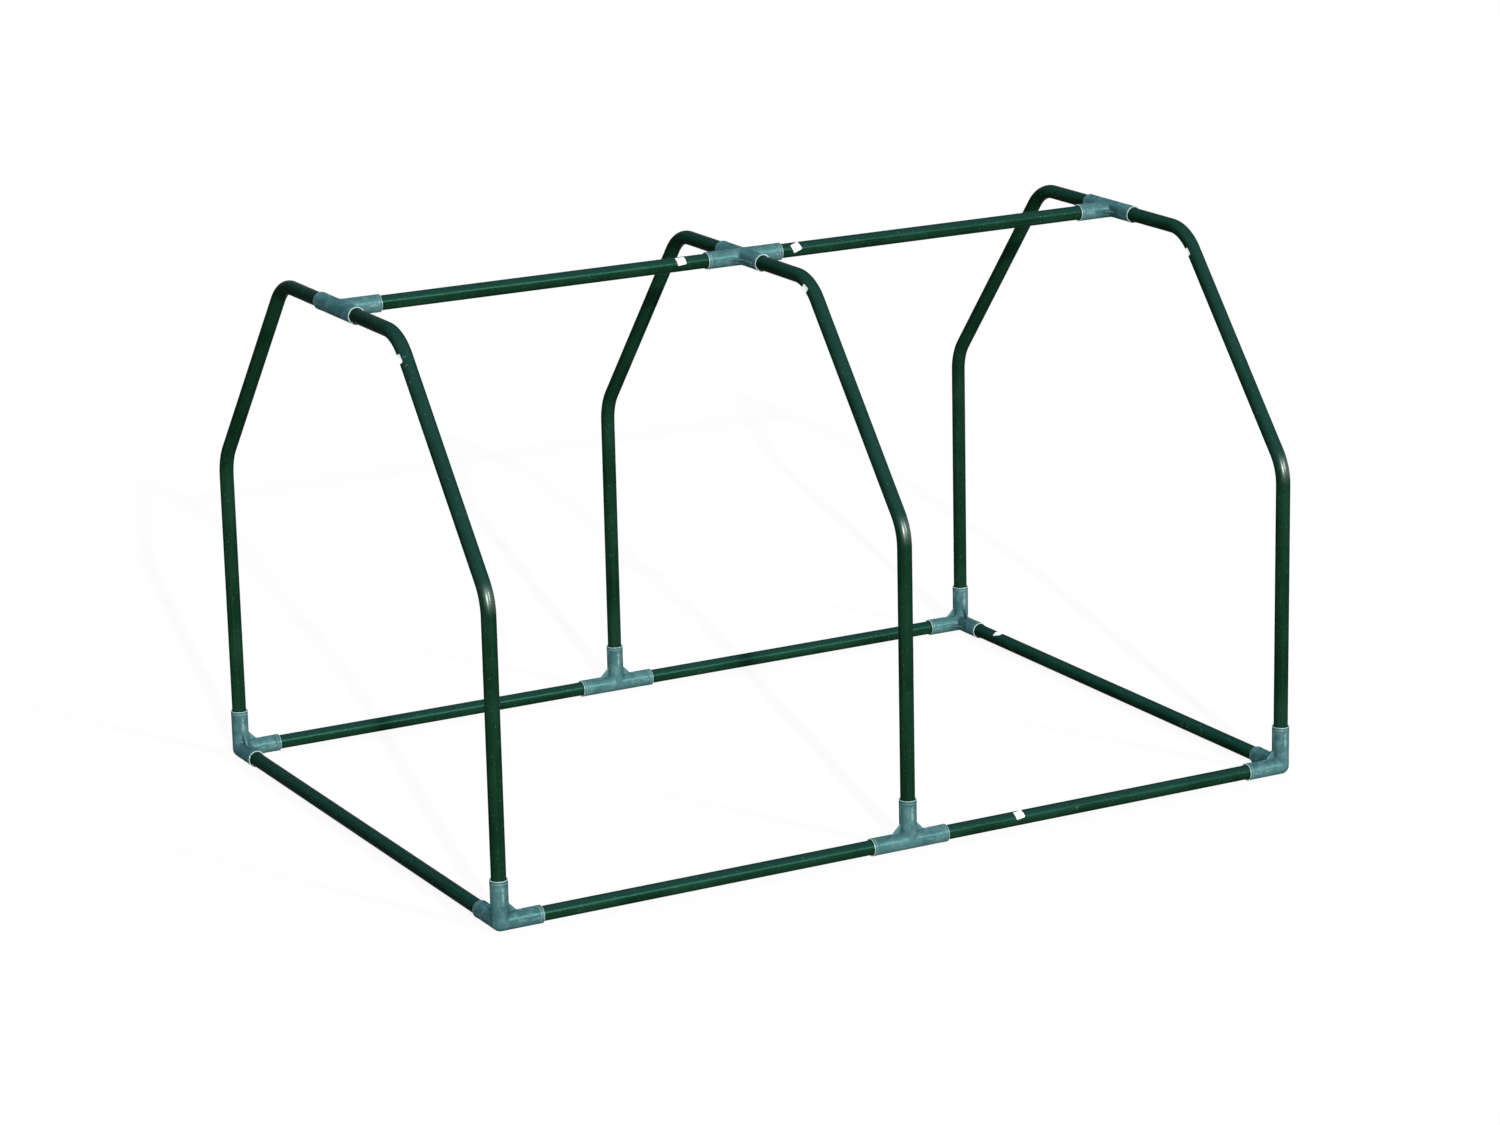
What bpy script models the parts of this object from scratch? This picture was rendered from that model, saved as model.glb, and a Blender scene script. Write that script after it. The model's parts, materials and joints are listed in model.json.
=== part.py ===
"""Frame of a mini greenhouse: bent steel tubes pushed into moulded connectors.

Three hoops stand across a rectangular base and carry a ridge. Each hoop is two bent
half tubes that meet in a ridge connector. X runs along the ridge, Y across the hoops
and Z up, and the origin is on the ground under the middle of the frame. Metres.
"""
import math

import bmesh
import bpy
from mathutils import Matrix, Vector

# Whole frame, outside to outside
LENGTH = 0.990
WIDTH = 0.710
HEIGHT = 0.600

# Hoop outline, to the points where the centre lines of the straight stretches cross
SHOULDER_HEIGHT = 0.354
ROOF_FLAT_HALF_WIDTH = 0.150
BEND_RADIUS = 0.055

# Steel tube
TUBE_DIAMETER = 0.016
TUBE_WALL = 0.0006

# Moulded push-fit connector
CONNECTOR_WALL = 0.0014
SOCKET_DEPTH = 0.0345
HUB_WALL = 0.0023
MOUTH_CHAMFER = 0.0006
MOUTH_LEAD_IN = 0.0005
COLLAR_LENGTH = 0.0030
COLLAR_RISE = 0.0003
WEB_REACH = 0.0100
WEB_THICKNESS = 0.0020

# Each arm of a connector is this much slimmer than the one it joins
ARM_STEP = 0.00002

# Clearance round a tube in its socket, and between its end and the socket's stop wall
FIT_GAP = 0.0003
SEAT_GAP = 0.0003

# Facets
TUBE_SIDES = 16
CONNECTOR_SIDES = 16
BEND_STEPS = 5
SHARP_ANGLE = math.radians(30)
WELD_DISTANCE = 1e-6

# Sizes that follow from the ones above
TUBE_RADIUS = TUBE_DIAMETER / 2
BORE_RADIUS = TUBE_RADIUS + FIT_GAP
ARM_RADIUS = BORE_RADIUS + CONNECTOR_WALL
COLLAR_RADIUS = ARM_RADIUS + COLLAR_RISE
STOP_DISTANCE = ARM_RADIUS + HUB_WALL
ARM_REACH = STOP_DISTANCE + SOCKET_DEPTH
TUBE_START = STOP_DISTANCE + SEAT_GAP
HALF_FACET = math.pi / CONNECTOR_SIDES
COLLAR_FLAT = COLLAR_RADIUS * math.cos(HALF_FACET)

# Places of the connector centres
HOOP_X = LENGTH / 2 - COLLAR_FLAT
SIDE_Y = WIDTH / 2 - COLLAR_FLAT
BASE_Z = COLLAR_FLAT
RIDGE_Z = HEIGHT - COLLAR_FLAT

X_AXIS = Vector((1, 0, 0))
Y_AXIS = Vector((0, 1, 0))
Z_AXIS = Vector((0, 0, 1))


def clear_scene():
    """Remove every object that is in the file."""
    for old in list(bpy.data.objects):
        bpy.data.objects.remove(old, do_unlink=True)


def finish(name, colour, roughness, metallic):
    """Make one material with a Principled shader."""
    material = bpy.data.materials.new(name)
    material.use_nodes = True
    shader = material.node_tree.nodes["Principled BSDF"]
    shader.inputs["Base Color"].default_value = (*colour, 1)
    shader.inputs["Roughness"].default_value = roughness
    shader.inputs["Metallic"].default_value = metallic
    return material


def green_enamel(name):
    """Dark green coating of the steel tubes."""
    return finish(name + "_enamel", (0.010, 0.055, 0.030), 0.30, 0.0)


def grey_green_plastic(name):
    """Grey-green plastic of the connectors."""
    return finish(name + "_plastic", (0.100, 0.210, 0.230), 0.38, 0.0)


def mesh_from(bm, name):
    """Turn a finished bmesh into a mesh with outward, smooth faces."""
    bmesh.ops.recalc_face_normals(bm, faces=bm.faces)
    mesh = bpy.data.meshes.new(name)
    bm.to_mesh(mesh)
    bm.free()
    return mesh


def shade_round(mesh):
    """Shade the round faces smooth and keep the edges between flats sharp."""
    mesh.shade_smooth()
    mesh.set_sharp_from_angle(angle=SHARP_ANGLE)


def add_object(name, mesh, parent=None, place=None):
    """Put a mesh in the scene under a parent, at a place given in the world."""
    item = bpy.data.objects.new(name, mesh)
    bpy.context.scene.collection.objects.link(item)
    item.parent = parent
    if parent:
        item.matrix_parent_inverse = Matrix.Translation(-parent.location)
    item.matrix_basis = place or Matrix.Identity(4)
    return item


def add_body(name, location):
    """Add the empty that carries the pieces of one rigid group."""
    body = add_object(name, None)
    body.location = location
    body.empty_display_size = 0.05
    return body


def turned_to(direction):
    """Rotation that takes +Z to a direction along one of the frame's axes."""
    return Z_AXIS.rotation_difference(direction).to_matrix().to_4x4()


def tube_end(bm, place):
    """Add the ring-shaped first end of a tube, with its flats on the axes, and return it."""
    turns = [Matrix.Rotation(math.tau * (step + 0.5) / TUBE_SIDES, 4, "Z")
             for step in range(TUBE_SIDES)]
    outer = [bm.verts.new(place @ turn @ Vector((TUBE_RADIUS, 0, 0))) for turn in turns]
    inner = [bm.verts.new(place @ turn @ Vector((TUBE_RADIUS - TUBE_WALL, 0, 0)))
             for turn in turns]
    for i in range(TUBE_SIDES):
        bm.faces.new((outer[i - 1], outer[i], inner[i], inner[i - 1]))
    return bm.verts[:] + bm.edges[:] + bm.faces[:]


def run_straight(bm, end, shift):
    """Carry the end of a tube straight on and return the new end."""
    made = bmesh.ops.extrude_face_region(bm, geom=end)["geom"]
    verts = [item for item in made if isinstance(item, bmesh.types.BMVert)]
    bmesh.ops.translate(bm, verts=verts, vec=shift)
    return made


def run_bend(bm, end, centre, axis, angle):
    """Carry the end of a tube round a bend and return the new end."""
    made = bmesh.ops.spin(bm, geom=end, cent=centre, axis=axis, angle=angle,
                          steps=BEND_STEPS, dvec=(0, 0, 0), use_merge=False, use_duplicate=False)
    return made["geom_last"]


def tube_mesh(name, corners):
    """Hollow tube along straight stretches joined by bends of one radius.

    The corners are the ends of the tube and the points where its straight centre
    lines cross.
    """
    bm = bmesh.new()
    heading = (corners[1] - corners[0]).normalized()
    end = tube_end(bm, Matrix.Translation(corners[0]) @ turned_to(heading))
    here = corners[0]
    for corner, after in zip(corners[1:], corners[2:]):
        turned = (after - corner).normalized()
        angle = heading.angle(turned)
        tangent = BEND_RADIUS * math.tan(angle / 2)
        bend_start = corner - heading * tangent
        end = run_straight(bm, end, bend_start - here)
        axis = heading.cross(turned).normalized()
        centre = bend_start + axis.cross(heading) * BEND_RADIUS
        end = run_bend(bm, end, centre, axis, angle)
        here = corner + turned * tangent
        heading = turned
    run_straight(bm, end, corners[-1] - here)
    mesh = mesh_from(bm, name)
    shade_round(mesh)
    return mesh


def turned_solid(profile, direction):
    """Solid of revolution about a direction, from (radius, distance) points."""
    bm = bmesh.new()
    start = Matrix.Rotation(HALF_FACET, 4, "Z")
    verts = [bm.verts.new(start @ Vector((radius, 0, height))) for radius, height in profile]
    edges = [bm.edges.new(pair) for pair in zip(verts, verts[1:])]
    bmesh.ops.spin(bm, geom=verts + edges, cent=(0, 0, 0), axis=Z_AXIS, angle=2 * math.pi,
                   steps=CONNECTOR_SIDES, dvec=(0, 0, 0), use_merge=True, use_duplicate=False)
    bmesh.ops.remove_doubles(bm, verts=bm.verts, dist=WELD_DISTANCE)
    bmesh.ops.transform(bm, matrix=turned_to(direction), verts=bm.verts)
    return add_object("turned_solid", mesh_from(bm, "turned_solid"))


def mouth_profile(radius):
    """Outer profile of a socket's mouth end, from an arm of one radius in to the axis."""
    collar_foot = ARM_REACH - COLLAR_LENGTH
    return [
        (radius, collar_foot),
        (COLLAR_RADIUS, collar_foot),
        (COLLAR_RADIUS, ARM_REACH - MOUTH_CHAMFER),
        (COLLAR_RADIUS - MOUTH_CHAMFER, ARM_REACH),
        (0, ARM_REACH),
    ]


def single_arm(direction, joined=1):
    """Solid arm from the connector's centre out to one mouth, after others it joined."""
    radius = ARM_RADIUS - joined * ARM_STEP
    return turned_solid([(0, 0), (radius, 0)] + mouth_profile(radius), direction)


def elbow_arm(direction):
    """Solid arm whose inner end is a ball that rounds the outside of a corner."""
    ball = []
    for step in reversed(range(CONNECTOR_SIDES // 4)):
        latitude = HALF_FACET * (2 * step + 1)
        radius = ARM_RADIUS * math.cos(latitude) / math.cos(HALF_FACET)
        ball.append((radius, -ARM_RADIUS * math.sin(latitude)))
    pole = (0, ball[0][1])
    return turned_solid([pole] + ball + mouth_profile(ARM_RADIUS), direction)


def through_arm(direction, joined=0):
    """Solid arm with a mouth at both ends, after others it joined."""
    far = mouth_profile(ARM_RADIUS - joined * ARM_STEP)
    near = [(radius, -distance) for radius, distance in reversed(far)]
    return turned_solid(near + far, direction)


def socket_cutter(direction):
    """Bore of one socket, from the stop wall out past the flared mouth."""
    profile = [
        (0, STOP_DISTANCE),
        (BORE_RADIUS, STOP_DISTANCE),
        (BORE_RADIUS, ARM_REACH - MOUTH_LEAD_IN),
        (BORE_RADIUS + MOUTH_LEAD_IN, ARM_REACH),
        (BORE_RADIUS + MOUTH_LEAD_IN, ARM_REACH + COLLAR_LENGTH),
        (0, ARM_REACH + COLLAR_LENGTH),
    ]
    return turned_solid(profile, direction)


def web_plate(first, second):
    """Triangular web in the corner between two arms."""
    root = BORE_RADIUS
    tip = ARM_RADIUS + WEB_REACH
    outline = [(root, root), (tip, root), (tip, ARM_RADIUS), (ARM_RADIUS, tip), (root, tip)]
    normal = first.cross(second)
    bm = bmesh.new()
    face = bm.faces.new([bm.verts.new(first * u + second * v - normal * WEB_THICKNESS / 2)
                         for u, v in outline])
    made = bmesh.ops.extrude_face_region(bm, geom=[face])["geom"]
    verts = [item for item in made if isinstance(item, bmesh.types.BMVert)]
    bmesh.ops.translate(bm, verts=verts, vec=normal * WEB_THICKNESS)
    return add_object("web_plate", mesh_from(bm, "web_plate"))


def combine(target, tools, operation):
    """Give a solid one Boolean for each tool."""
    for tool in tools:
        tool.hide_render = True
        tool.display_type = "WIRE"
        modifier = target.modifiers.new(operation.lower(), "BOOLEAN")
        modifier.operation = operation
        modifier.object = tool


def connector_mesh(name, arms, sockets, corners):
    """One moulding: arms and webs fused, then a blind socket bored in each arm."""
    target = arms[0]
    webs = [web_plate(first, second) for first, second in corners]
    bores = [socket_cutter(direction) for direction in sockets]
    combine(target, arms[1:] + webs, "UNION")
    combine(target, bores, "DIFFERENCE")
    solid = target.evaluated_get(bpy.context.evaluated_depsgraph_get())
    mesh = bpy.data.meshes.new_from_object(solid)
    mesh.name = name
    for used in arms + webs + bores:
        bpy.data.objects.remove(used, do_unlink=True)
    shade_round(mesh)
    return mesh


def corner_mesh():
    """Three-way corner with its arms along +X, +Y and +Z."""
    arms = [elbow_arm(Z_AXIS), single_arm(X_AXIS), single_arm(Y_AXIS, joined=2)]
    corners = [(X_AXIS, Y_AXIS), (Y_AXIS, Z_AXIS), (Z_AXIS, X_AXIS)]
    return connector_mesh("corner", arms, [X_AXIS, Y_AXIS, Z_AXIS], corners)


def tee_mesh():
    """Tee with its through arm along X and its branch along +Z."""
    arms = [through_arm(X_AXIS), single_arm(Z_AXIS)]
    corners = [(Z_AXIS, X_AXIS), (-X_AXIS, Z_AXIS)]
    return connector_mesh("tee", arms, [X_AXIS, -X_AXIS, Z_AXIS], corners)


def cross_mesh():
    """Four-way cross with its arms along X and Y."""
    arms = [through_arm(X_AXIS), through_arm(Y_AXIS, joined=1)]
    around = [X_AXIS, Y_AXIS, -X_AXIS, -Y_AXIS]
    corners = list(zip(around, around[1:] + around[:1]))
    return connector_mesh("cross", arms, around, corners)


def add_tube(name, body, corners):
    """Add one steel tube to a body."""
    mesh = tube_mesh(name, [Vector(corner) for corner in corners])
    mesh.materials.append(green_enamel(name))
    return add_object(name, mesh, body)


def add_connector(name, body, shared, centre, rotation):
    """Add one copy of a moulding to a body."""
    mesh = shared.copy()
    mesh.materials.clear()
    mesh.materials.append(grey_green_plastic(name))
    return add_object(name, mesh, body, Matrix.Translation(centre) @ rotation)


def add_bodies():
    """Add the rigid groups that come apart: two base ends, three hoops and the base sides."""
    return {
        "base_middle": add_body("base_middle", (0, 0, BASE_Z)),
        "base_left_end": add_body("base_left_end", (-HOOP_X, 0, BASE_Z)),
        "base_right_end": add_body("base_right_end", (HOOP_X, 0, BASE_Z)),
        "upper_middle": add_body("upper_middle", (0, 0, RIDGE_Z)),
        "upper_left_end": add_body("upper_left_end", (-HOOP_X, 0, RIDGE_Z)),
        "upper_right_end": add_body("upper_right_end", (HOOP_X, 0, RIDGE_Z)),
    }


def add_connectors(bodies):
    """Place the corners, tees and cross."""
    corner, tee, cross = corner_mesh(), tee_mesh(), cross_mesh()
    quarter_turns = {("left", "front"): 0, ("right", "front"): 1, ("right", "back"): 2,
                     ("left", "back"): 3}
    for (end, side), turns in quarter_turns.items():
        x = HOOP_X if end == "right" else -HOOP_X
        y = SIDE_Y if side == "back" else -SIDE_Y
        rotation = Matrix.Rotation(turns * math.pi / 2, 4, "Z")
        add_connector(f"{side}_{end}_corner", bodies[f"base_{end}_end"], corner,
                      (x, y, BASE_Z), rotation)
    for side, y in (("front", -SIDE_Y), ("back", SIDE_Y)):
        add_connector(f"{side}_middle_tee", bodies["base_middle"], tee,
                      (0, y, BASE_Z), Matrix.Identity(4))
    across = Matrix.Rotation(math.pi / 2, 4, "Z")
    for end, x in (("left", -1), ("right", 1)):
        inward = Matrix.Rotation(-x * math.pi / 2, 4, "Y")
        add_connector(f"{end}_ridge_tee", bodies[f"upper_{end}_end"], tee,
                      (x * HOOP_X, 0, RIDGE_Z), inward @ across)
    add_connector("ridge_cross", bodies["upper_middle"], cross,
                  (0, 0, RIDGE_Z), Matrix.Identity(4))


def add_hoops(bodies):
    """Bend the two half tubes of each hoop, from a base socket up to the ridge."""
    owners = {"left": "upper_left_end", "middle": "upper_middle", "right": "upper_right_end"}
    for (place, body), x in zip(owners.items(), (-HOOP_X, 0, HOOP_X)):
        for side, sign in (("front", -1), ("back", 1)):
            corners = [
                (x, sign * SIDE_Y, BASE_Z + TUBE_START),
                (x, sign * SIDE_Y, SHOULDER_HEIGHT),
                (x, sign * ROOF_FLAT_HALF_WIDTH, RIDGE_Z),
                (x, sign * TUBE_START, RIDGE_Z),
            ]
            add_tube(f"{place}_{side}_hoop_tube", bodies[body], corners)


def add_straight_tubes(bodies):
    """Cut the ridge, side and end tubes to reach between their sockets."""
    near, far = TUBE_START, HOOP_X - TUBE_START
    for end, sign in (("left", -1), ("right", 1)):
        add_tube(f"{end}_ridge_tube", bodies["upper_middle"],
                 [(sign * near, 0, RIDGE_Z), (sign * far, 0, RIDGE_Z)])
        add_tube(f"{end}_end_base_tube", bodies[f"base_{end}_end"],
                 [(sign * HOOP_X, TUBE_START - SIDE_Y, BASE_Z),
                  (sign * HOOP_X, SIDE_Y - TUBE_START, BASE_Z)])
        for side, y in (("front", -SIDE_Y), ("back", SIDE_Y)):
            add_tube(f"{side}_{end}_base_tube", bodies["base_middle"],
                     [(sign * near, y, BASE_Z), (sign * far, y, BASE_Z)])


def main():
    """Build the whole frame."""
    clear_scene()
    bodies = add_bodies()
    add_connectors(bodies)
    add_hoops(bodies)
    add_straight_tubes(bodies)


main()
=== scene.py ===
"""Dressed scene of a mini greenhouse frame.

Three hoops of enamelled steel tube stand in moulded plastic connectors on a
rectangular base, and a ridge ties them together at the top. Each tube and moulding
stands in for the CAD node that it is named after, on the same centre lines. X runs
along the ridge, Y across the hoops and Z up. All lengths are in metres.
"""

import json
import logging
import math
from collections.abc import Mapping, Sequence
from dataclasses import dataclass, field
from enum import Enum
from typing import Any, Union

import bmesh
import bpy
import numpy as np
from bmesh.types import BMesh, BMVert
from bpy.types import ID, Material, Mesh, Node, NodeSocket, NodeTree, Object, World
from mathutils import Matrix, Quaternion, Vector


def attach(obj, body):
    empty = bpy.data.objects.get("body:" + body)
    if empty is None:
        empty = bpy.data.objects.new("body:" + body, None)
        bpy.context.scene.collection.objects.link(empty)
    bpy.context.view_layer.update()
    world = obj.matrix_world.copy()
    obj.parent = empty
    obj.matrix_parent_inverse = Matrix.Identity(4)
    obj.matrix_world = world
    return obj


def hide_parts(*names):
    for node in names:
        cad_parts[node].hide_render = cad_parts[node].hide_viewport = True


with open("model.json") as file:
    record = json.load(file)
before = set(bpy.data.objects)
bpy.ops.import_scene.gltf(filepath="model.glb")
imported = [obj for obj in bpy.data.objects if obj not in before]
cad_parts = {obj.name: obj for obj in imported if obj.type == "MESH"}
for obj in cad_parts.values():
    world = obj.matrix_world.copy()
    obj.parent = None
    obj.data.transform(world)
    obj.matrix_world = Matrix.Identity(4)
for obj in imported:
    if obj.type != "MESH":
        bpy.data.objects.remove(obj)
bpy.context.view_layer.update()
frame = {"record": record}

WELD_DISTANCE = 1e-6
TINY = 1e-9
# Angle in degrees from which the edges of mouldings stay sharp, and those of other pieces
MOULDED_SHARP, SHARP = 35.0, 40.0
# Colour sockets of a Mix node, which holds others for its other data types
MIX_FIRST, MIX_SECOND, MIX_RESULT = 6, 7, 2
LOG = logging.getLogger("greenhouse")

Colour = tuple[float, float, float]
Number = Union[float, "Wire"]
Ring = list[BMVert]


@dataclass(frozen=True)
class Wire:
    """A shader socket that takes part in arithmetic."""

    board: "Board"
    socket: NodeSocket

    def _math(self, operation: str, first: Number, second: Number) -> "Wire":
        """Result of one Math node."""
        return self.board.wire("ShaderNodeMath", "Value", {0: first, 1: second},
                               operation=operation)

    def __add__(self, other: Number) -> "Wire":
        """Sum of this and another value."""
        return self._math("ADD", self, other)

    def __sub__(self, other: Number) -> "Wire":
        """This less another value."""
        return self._math("SUBTRACT", self, other)

    def __rsub__(self, other: Number) -> "Wire":
        """Another value less this."""
        return self._math("SUBTRACT", other, self)

    def __mul__(self, other: Number) -> "Wire":
        """Product of this and another value."""
        return self._math("MULTIPLY", self, other)

    def maximum(self, other: Number) -> "Wire":
        """The larger of this and another value."""
        return self._math("MAXIMUM", self, other)


@dataclass
class Board:
    """The node tree of one material or world."""

    tree: NodeTree

    @classmethod
    def of(cls, owner: Material | World) -> "Board":
        """Board of a material or a world, on a new empty tree."""
        owner.use_nodes = True
        return cls(owner.node_tree)

    def __post_init__(self) -> None:
        """Clear the tree."""
        self.tree.nodes.clear()

    def node(self, kind: str, inputs: Mapping[str | int, Any] | None = None,
             **settings: Any) -> Node:
        """Add one node, set it up and connect it.

        Args:
            kind: Blender's type name of the node.
            inputs: Value or wire of each input socket, by name or place.
            **settings: Properties of the node, set before its sockets.

        Returns:
            The new node.
        """
        made = self.tree.nodes.new(kind)
        for name, value in settings.items():
            setattr(made, name, value)
        for name, value in (inputs or {}).items():
            if isinstance(value, Wire):
                self.tree.links.new(value.socket, made.inputs[name])
            else:
                made.inputs[name].default_value = value
        return made

    def wire(self, kind: str, output: str | int, inputs: Mapping[str | int, Any] | None = None,
             **settings: Any) -> Wire:
        """One output of a new node, by name or place."""
        return Wire(self, self.node(kind, inputs, **settings).outputs[output])

    def attribute(self, name: str, output: str = "Fac") -> Wire:
        """A mesh attribute, from the Fac or Vector output."""
        return self.wire("ShaderNodeAttribute", output, attribute_name=name)

    def place(self) -> Wire:
        """Position on the piece, in its own frame."""
        return self.wire("ShaderNodeTexCoord", "Object")

    def distance(self, vector: Wire, point: Colour) -> Wire:
        """Distance of a position from a fixed point."""
        return self.wire("ShaderNodeVectorMath", "Value", {0: vector, 1: point},
                         operation="DISTANCE")

    def noise(self, vector: Wire, scale: float, detail: float = 2.0, rough: float = 0.5) -> Wire:
        """Fractal noise about one half, by waves to the metre, octaves and the share kept."""
        return self.wire("ShaderNodeTexNoise", "Fac", {
            "Vector": vector, "Scale": scale, "Detail": detail, "Roughness": rough})

    def streaks(self, vector: Wire, waves: Colour, detail: float = 2.0) -> Wire:
        """Fractal noise with its own number of waves to the metre along each axis."""
        scaled = self.wire("ShaderNodeVectorMath", "Vector", {0: vector, 1: waves},
                           operation="MULTIPLY")
        return self.noise(scaled, 1.0, detail)

    def band(self, value: Wire, low: float, high: float) -> Wire:
        """A value eased from 0 at one level to 1 at another."""
        return self.wire("ShaderNodeMapRange", "Result", {
            "Value": value, "From Min": low, "From Max": high}, interpolation_type="SMOOTHSTEP")

    def tint(self, share: Wire, first: Colour | Wire, second: Colour | Wire) -> Wire:
        """Mix of two colours, by the share of the second."""
        ends = [end if isinstance(end, Wire) else (*end, 1.0) for end in (first, second)]
        return self.wire("ShaderNodeMix", MIX_RESULT, {
            0: share, MIX_FIRST: ends[0], MIX_SECOND: ends[1]}, data_type="RGBA")

    def relief(self, height: Wire, depth: float, under: Wire | None = None) -> Wire:
        """Bumped normal of a height from 0 to 1, over the normal of a coarser relief."""
        below = {"Normal": under} if under else {}
        return self.wire("ShaderNodeBump", "Normal", {
            "Strength": 1.0, "Distance": depth, "Height": height, **below})

    def blended(self, share: Wire, first: Wire, second: Wire) -> Wire:
        """Mix of two shaders, by the share of the second."""
        return self.wire("ShaderNodeMixShader", 0, {0: share, 1: first, 2: second})

    def output(self, surface: Wire, kind: str = "ShaderNodeOutputMaterial") -> None:
        """Connect a shader to the output."""
        self.node(kind, {"Surface": surface})

    def principled(self, inputs: Mapping[str, Any]) -> None:
        """Connect a Principled shader to the output."""
        self.output(self.wire("ShaderNodeBsdfPrincipled", "BSDF", inputs))


def new_board(name: str) -> tuple[Material, Board]:
    """A new material and its board."""
    material = bpy.data.materials.new(name)
    return material, Board.of(material)


@dataclass(frozen=True)
class TubeEnamel:
    """Thin dark green enamel over steel.

    It has a painted sky reflection on its upward faces, is nicked and scuffed in places,
    rubbed where tubes are pushed in, and burnished on the outside of the bends, where the
    bending die pressed.
    """

    shade: Colour = (0.0058, 0.032, 0.0142)
    colour: Colour = (0.0105, 0.050, 0.0240)
    # Painted reflection of the sky: lighter teal on faces that look up
    painted_sky_reflection: Colour = (0.0140, 0.062, 0.052)
    streak: Colour = (0.0190, 0.076, 0.045)
    scuff: Colour = (0.200, 0.330, 0.270)
    rough: float = 0.26
    ior: float = 1.03
    metallic: float = 0.30
    edge: Colour = (0.05, 0.12, 0.10)
    coat_rough: float = 0.32
    coat_ior: float = 1.7
    depth: float = 0.000008
    # Length of tube in a socket: all rubbed up to the first, none from the second
    rubbed_to: tuple[float, float] = (0.030, 0.035)
    # Middle of each scuffed place, in the tubes' grain, and how far it reaches
    scuffs: tuple[Colour, ...] = ()
    scuff_reach: tuple[float, float] = (0.0002, 0.0052)

    def material(self) -> Material:
        """Build the material.

        Returns:
            The material.
        """
        material, board = new_board("green_tube_enamel")
        grain = board.attribute("grain", "Vector")
        upward = board.attribute("upward")
        cloud = board.band(board.noise(grain, 16.0, 3.0), 0.36, 0.64)
        drawn = board.band(board.streaks(grain, (520, 520, 7)), 0.42, 0.68)
        peel = board.noise(grain, 850.0)
        patch = board.band(board.noise(grain, 21.0), 0.60, 0.72)
        nick = board.band(board.streaks(grain, (620, 620, 240), 3.0), 0.675, 0.71)
        rubbed = board.band(board.streaks(grain, (900, 900, 30)), 0.52, 0.66)
        in_socket = 1.0 - board.band(board.attribute("end_gap"), *self.rubbed_to)
        wear = (nick * patch * 0.45).maximum(rubbed * in_socket * 0.55)
        flake = board.streaks(grain, (760, 760, 330), 3.0)
        for middle in self.scuffs:
            near = 1.0 - board.band(board.distance(grain, middle), *self.scuff_reach)
            wear = wear.maximum(board.band(flake + near * 0.16, 0.655, 0.72) * 0.6)
        # Painted sky reflection: faces that look up are tinted lighter teal
        sky_reflection_share = board.band(upward + cloud * 0.12, 0.02, 0.75)
        colour = board.tint(cloud, self.shade, self.colour)
        colour = board.tint(sky_reflection_share * 0.9, colour, self.painted_sky_reflection)
        colour = board.tint(drawn * 0.35, colour, self.streak)
        colour = board.tint(wear * 0.75, colour, self.scuff)
        burnish = board.attribute("burnish") * (1.0 - board.band(upward, 0.42, 0.72))
        board.principled({
            "Base Color": colour,
            "Roughness": cloud * 0.04 + self.rough + drawn * 0.04 + wear * 0.28,
            "Metallic": self.metallic,
            "Specular Tint": (*self.edge, 1.0),
            "IOR": self.ior,
            "Coat Weight": burnish,
            "Coat Roughness": self.coat_rough,
            "Coat IOR": self.coat_ior,
            "Normal": board.relief(peel * 0.7 + drawn * 0.3 - wear * 0.6, self.depth),
        })
        return material


@dataclass(frozen=True)
class BareSteel:
    """Rolled steel inside a tube and on its cut ends, with dull stains."""

    colour: Colour = (0.34, 0.35, 0.35)
    dull: Colour = (0.16, 0.155, 0.15)
    rough: float = 0.30
    depth: float = 0.00001

    def material(self) -> Material:
        """Build the material.

        Returns:
            The material.
        """
        material, board = new_board("bare_tube_steel")
        grain = board.attribute("grain", "Vector")
        rolled = board.streaks(grain, (700, 700, 22), 3.0)
        stain = board.band(board.noise(grain, 90.0, 4.0), 0.45, 0.62)
        board.principled({
            "Base Color": board.tint(stain * 0.7, self.colour, self.dull),
            "Metallic": 1.0 - stain * 0.35,
            "Roughness": rolled * 0.18 + self.rough + stain * 0.2,
            "Normal": board.relief(rolled, self.depth),
        })
        return material


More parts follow.
